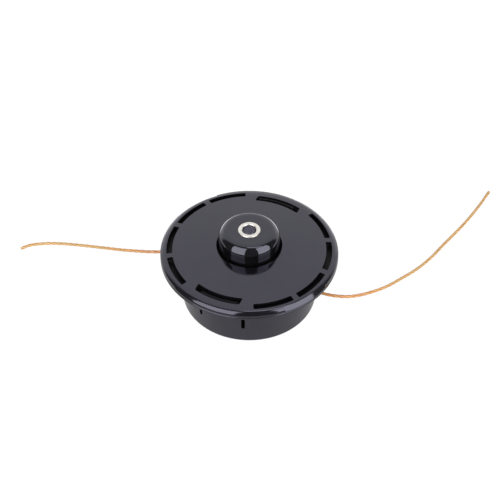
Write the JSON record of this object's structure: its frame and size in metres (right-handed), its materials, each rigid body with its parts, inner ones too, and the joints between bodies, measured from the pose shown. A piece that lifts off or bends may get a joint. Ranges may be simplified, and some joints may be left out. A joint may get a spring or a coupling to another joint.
{
  "type": "trimmer head",
  "caption": "Bump-feed string trimmer head: round cup with a wide slotted cover, central bump knob with a steel ring, inner spool and spring, and nylon cutting line out of opposite eyelets.",
  "frame": {"origin": "middle of the drive face, on the head's axis, which is the middle of the underside without the free lines", "axes": "+Z runs along the head's axis from the drive face to the bump knob, +X to the right and +Y to the back as the picture shows it"},
  "size_m": [0.3812, 0.1783, 0.0646],
  "materials": {
    "housing_plastic": "satin moulded black nylon",
    "cover_plastic": "satin moulded black nylon",
    "spool_plastic": "moulded dark nylon",
    "knob_plastic": "polished moulded black nylon",
    "insert_steel": "turned and zinc-plated steel",
    "eyelet_steel": "turned steel, polished by the line",
    "sleeve_steel": "bright turned steel",
    "bolt_steel": "blackened steel",
    "washer_steel": "punched and zinc-plated steel",
    "spring_steel": "drawn spring wire",
    "line_nylon": "translucent orange twisted nylon line"
  },
  "bodies": {
    "housing_body": {"housing": "housing_plastic", "cover": "cover_plastic", "drive_insert": "insert_steel", "eyelet_left": "eyelet_steel", "eyelet_right": "eyelet_steel", "bump_spring": "spring_steel", "spring_seat": "washer_steel", "line_left": "line_nylon", "line_right": "line_nylon"},
    "slider": {"thrust_washer": "washer_steel"},
    "spool_body": {"spool": "spool_plastic", "winding_lower": "line_nylon", "winding_upper": "line_nylon", "knob": "knob_plastic", "knob_sleeve": "sleeve_steel", "centre_bolt": "bolt_steel", "bolt_washer": "washer_steel"}
  },
  "joints": [
    {"name": "bump_slide", "type": "slide", "parent": "housing_body", "child": "slider", "axis": [0, 0, 1], "range_m": [-0.008, 0], "stiffness_N_per_m": 1500, "springref_m": 0.012, "deforming": ["bump_spring"]},
    {"name": "spool_turn", "type": "hinge", "parent": "slider", "child": "spool_body", "pos_m": [0, 0, 0.03], "axis": [0, 0, 1], "continuous": true}
  ]
}
